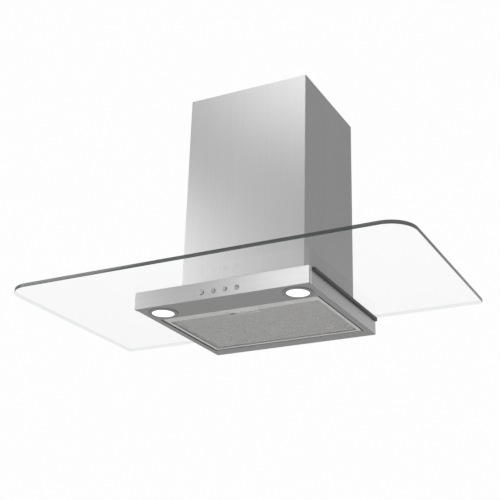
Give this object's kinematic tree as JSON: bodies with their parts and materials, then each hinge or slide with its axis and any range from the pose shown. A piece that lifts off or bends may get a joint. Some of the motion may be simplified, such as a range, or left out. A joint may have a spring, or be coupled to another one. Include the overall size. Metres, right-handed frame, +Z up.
{
  "type": "range hood",
  "caption": "Wall range hood: flat clear glass canopy over a slim brushed steel body with lamps, buttons and grease filter, under a telescopic chimney.",
  "frame": {"origin": "on the wall plane, in the middle of the wall-fixing holes in the blower box's back", "axes": "+X to the right of a person facing the hood, +Y into the wall, +Z up"},
  "size_m": [0.9, 0.485, 0.5416],
  "materials": {
    "brushed_stainless": "satin, vertical brushed grain",
    "body_stainless": "satin, brushed across its width",
    "galvanised": "hot-dip galvanised sheet",
    "zinc_screw": "zinc plated",
    "clear_glass": "clear float glass, polished edges",
    "black_plastic": "fine-textured",
    "grey_plastic": "moulded",
    "white_nylon": "moulded",
    "lamp_bezel": "dark satin",
    "lamp_lens": "frosted",
    "lamp_led": "white board with lit emitters",
    "filter_aluminium": "satin",
    "frame_aluminium": "satin, rolled",
    "button_metal": "satin chrome",
    "latch_metal": "satin chrome",
    "motor_steel": "zinc-plated pressed steel",
    "lamination_steel": "laminated core with windings",
    "bearing_steel": "ground",
    "circuit_board": "solder-masked"
  },
  "bodies": {
    "hood": {"glass_canopy": "clear_glass", "glass_bushes": "white_nylon", "glass_screws": "zinc_screw", "glass_nuts": "zinc_screw", "glass_support_frame": "black_plastic", "casing": "body_stainless", "front_panel": "body_stainless", "compartment_partition": "galvanised", "switch_housing": "black_plastic", "switch_board": "circuit_board", "micro_switches": "black_plastic", "filter_pivot_clips": "grey_plastic", "blower_box_back": "galvanised", "blower_box_wrapper": "galvanised", "blower_box_top": "galvanised", "scroll_left": "grey_plastic", "scroll_right": "grey_plastic", "scroll_screws": "zinc_screw", "motor_housing": "motor_steel", "motor_end_cap": "motor_steel", "motor_bracket": "galvanised", "motor_bearings": "bearing_steel", "stator": "lamination_steel", "outlet_spigot": "grey_plastic", "spigot_screws": "zinc_screw", "valve_pin": "zinc_screw", "electronics_box": "grey_plastic", "electronics_lid": "grey_plastic", "terminal_block": "white_nylon", "run_capacitor": "white_nylon", "cable_gland": "black_plastic", "lower_chimney": "brushed_stainless", "chimney_rests": "galvanised", "chimney_bracket": "galvanised", "lamp_bezel_left": "lamp_bezel", "lamp_lens_left": "lamp_lens", "lamp_housing_left": "grey_plastic", "lamp_led_left": "lamp_led", "lamp_bezel_right": "lamp_bezel", "lamp_lens_right": "lamp_lens", "lamp_housing_right": "grey_plastic", "lamp_led_right": "lamp_led"},
    "rotor": {"motor_rotor": "lamination_steel", "impeller": "black_plastic", "impeller_nut": "zinc_screw"},
    "valve_front": {"valve_flap_front": "black_plastic"},
    "valve_rear": {"valve_flap_rear": "black_plastic"},
    "inner_chimney": {"upper_chimney": "brushed_stainless"},
    "filter": {"filter_frame": "frame_aluminium", "filter_mesh_lower": "filter_aluminium", "filter_mesh_core": "filter_aluminium", "filter_mesh_upper": "filter_aluminium", "latch_housing": "latch_metal"},
    "latch": {"filter_latch": "latch_metal"},
    "button_1": {"push_button_1": "button_metal"},
    "button_2": {"push_button_2": "button_metal"},
    "button_3": {"push_button_3": "button_metal"},
    "button_4": {"push_button_4": "button_metal"}
  },
  "joints": [
    {"name": "fan_spin", "type": "hinge", "parent": "hood", "child": "rotor", "pos_m": [0, -0.1, -0.025], "axis": [1, 0, 0], "continuous": true},
    {"name": "front_flap", "type": "hinge", "parent": "hood", "child": "valve_front", "pos_m": [0, -0.151, 0.142], "axis": [-1, 0, 0], "range_deg": [0, 70]},
    {"name": "rear_flap", "type": "hinge", "parent": "hood", "child": "valve_rear", "pos_m": [0, -0.151, 0.142], "axis": [1, 0, 0], "range_deg": [0, 70]},
    {"name": "chimney_extension", "type": "slide", "parent": "hood", "child": "inner_chimney", "axis": [0, 0, 1], "range_m": [0, 0.32]},
    {"name": "filter_hinge", "type": "hinge", "parent": "hood", "child": "filter", "pos_m": [0, -0.042, -0.1825], "axis": [1, 0, 0], "range_deg": [0, 75]},
    {"name": "latch_slide", "type": "slide", "parent": "filter", "child": "latch", "axis": [0, 1, 0], "range_m": [0, 0.005], "stiffness_N_per_m": 300},
    {"name": "button_1_press", "type": "slide", "parent": "hood", "child": "button_1", "axis": [0, 1, 0], "range_m": [0, 0.002], "stiffness_N_per_m": 500},
    {"name": "button_2_press", "type": "slide", "parent": "hood", "child": "button_2", "axis": [0, 1, 0], "range_m": [0, 0.002], "stiffness_N_per_m": 500},
    {"name": "button_3_press", "type": "slide", "parent": "hood", "child": "button_3", "axis": [0, 1, 0], "range_m": [0, 0.002], "stiffness_N_per_m": 500},
    {"name": "button_4_press", "type": "slide", "parent": "hood", "child": "button_4", "axis": [0, 1, 0], "range_m": [0, 0.002], "stiffness_N_per_m": 500}
  ]
}
